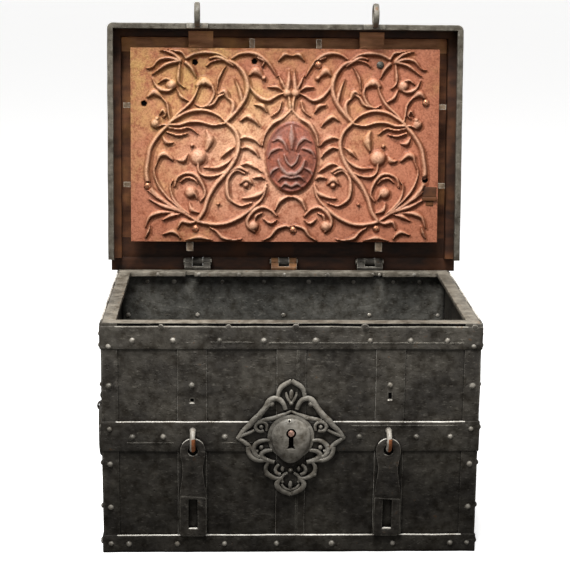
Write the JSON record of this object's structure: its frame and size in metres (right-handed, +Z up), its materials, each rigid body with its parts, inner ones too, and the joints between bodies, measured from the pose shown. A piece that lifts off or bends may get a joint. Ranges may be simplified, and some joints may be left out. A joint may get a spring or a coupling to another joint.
{
  "type": "iron strongbox",
  "caption": "Riveted iron strongbox with a hinged lid, a many-bolt lock behind a painted cover plate, padlock hasps, bail handles and a blind front keyhole.",
  "frame": {"origin": "middle of the underside, on the surface that the box stands on", "axes": "+Z up, the front with the hasps faces -Y, +X to the right as seen from the front"},
  "size_m": [0.6396, 0.4976, 0.8558],
  "materials": {
    "dark_iron": "forged, oiled and darkened, edges worn bright",
    "worn_iron": "forged, rubbed by use",
    "bright_iron": "forged, worn bright with rust in the hollows",
    "inner_iron": "red lead over iron, darkened",
    "painted_cover": "embossed sheet with old terracotta and ochre paint"
  },
  "bodies": {
    "box": {"front_plate": "dark_iron", "back_plate": "dark_iron", "left_side_plate": "dark_iron", "right_side_plate": "dark_iron", "floor_plate": "inner_iron", "rim_bar_front": "worn_iron", "rim_bar_back": "worn_iron", "rim_bar_left": "worn_iron", "rim_bar_right": "worn_iron", "top_hoop": "dark_iron", "middle_hoop": "dark_iron", "bottom_hoop": "dark_iron", "corner_strap_front_left": "dark_iron", "corner_strap_front_right": "dark_iron", "corner_strap_back_left": "dark_iron", "corner_strap_back_right": "dark_iron", "front_strap_left": "dark_iron", "front_strap_centre": "dark_iron", "front_strap_right": "dark_iron", "side_strap_left_front": "dark_iron", "side_strap_left_back": "dark_iron", "side_strap_right_front": "dark_iron", "side_strap_right_back": "dark_iron", "hinge_strap_left": "dark_iron", "hinge_strap_centre": "dark_iron", "hinge_strap_right": "dark_iron", "hinge_pin_left": "bright_iron", "hinge_pin_centre": "bright_iron", "hinge_pin_right": "bright_iron", "keyhole_escutcheon": "worn_iron", "keyhole_boss": "worn_iron", "hasp_staple_left": "bright_iron", "hasp_staple_right": "bright_iron", "handle_plate_left": "dark_iron", "handle_plate_right": "dark_iron"},
    "left_hasp": {"hasp_left": "worn_iron"},
    "right_hasp": {"hasp_right": "worn_iron"},
    "left_handle": {"handle_bail_left": "bright_iron"},
    "right_handle": {"handle_bail_right": "bright_iron"},
    "lid": {"lid_plate": "dark_iron", "lid_skirt_front": "worn_iron", "lid_skirt_left": "worn_iron", "lid_skirt_right": "worn_iron", "lid_strap_left": "dark_iron", "lid_strap_centre": "dark_iron", "lid_strap_right": "dark_iron", "lid_hook_left": "bright_iron", "lid_hook_right": "bright_iron", "cover_post_front_left": "inner_iron", "cover_post_front_right": "inner_iron", "cover_post_rear_left": "inner_iron", "cover_post_rear_right": "inner_iron", "lock_cover_plate": "painted_cover"},
    "keyhole_cover": {"lid_keyhole_cover": "bright_iron"},
    "rotor": {"lock_rotor": "inner_iron"},
    "front_bolts": {"bolt_bar_front": "inner_iron"},
    "left_bolts": {"bolt_bar_left": "inner_iron"},
    "rear_bolts": {"bolt_bar_rear": "inner_iron"},
    "right_bolts": {"bolt_bar_right": "inner_iron"}
  },
  "joints": [
    {"name": "lid_hinge", "type": "hinge", "parent": "box", "child": "lid", "pos_m": [0, 0.21, 0.392], "axis": [1, 0, 0], "range_deg": [0, 97]},
    {"name": "left_hasp_swing", "type": "hinge", "parent": "box", "child": "left_hasp", "pos_m": [-0.155, -0.2025, 0.1907], "axis": [-1, 0, 0], "range_deg": [0, 173]},
    {"name": "right_hasp_swing", "type": "hinge", "parent": "box", "child": "right_hasp", "pos_m": [0.155, -0.2025, 0.1907], "axis": [-1, 0, 0], "range_deg": [0, 173]},
    {"name": "left_handle_swing", "type": "hinge", "parent": "box", "child": "left_handle", "pos_m": [-0.312, 0, 0.1955], "axis": [0, 1, 0], "range_deg": [0, 165]},
    {"name": "right_handle_swing", "type": "hinge", "parent": "box", "child": "right_handle", "pos_m": [0.312, 0, 0.1955], "axis": [0, -1, 0], "range_deg": [0, 165]},
    {"name": "keyhole_cover_turn", "type": "hinge", "parent": "lid", "child": "keyhole_cover", "pos_m": [0, 0.25736, 0.63], "axis": [0, 0.9925, -0.1219], "range_deg": [-110, 110]},
    {"name": "key_turn", "type": "hinge", "parent": "lid", "child": "rotor", "pos_m": [0, 0.23559, 0.60044], "axis": [0, 0.9925, -0.1219], "range_deg": [0, 22.1]},
    {"name": "front_bolts_slide", "type": "slide", "parent": "lid", "child": "front_bolts", "axis": [0, -0.1219, -0.9925], "range_m": [0, 0.017]},
    {"name": "left_bolts_slide", "type": "slide", "parent": "lid", "child": "left_bolts", "axis": [1, 0, 0], "range_m": [0, 0.017]},
    {"name": "rear_bolts_slide", "type": "slide", "parent": "lid", "child": "rear_bolts", "axis": [0, 0.1219, 0.9925], "range_m": [0, 0.017]},
    {"name": "right_bolts_slide", "type": "slide", "parent": "lid", "child": "right_bolts", "axis": [-1, 0, 0], "range_m": [0, 0.017]}
  ],
  "couplings": [
    {"joint": "front_bolts_slide", "follows": "key_turn", "m_per_rad": 0.044},
    {"joint": "left_bolts_slide", "follows": "key_turn", "m_per_rad": 0.044},
    {"joint": "rear_bolts_slide", "follows": "key_turn", "m_per_rad": 0.044},
    {"joint": "right_bolts_slide", "follows": "key_turn", "m_per_rad": 0.044}
  ]
}
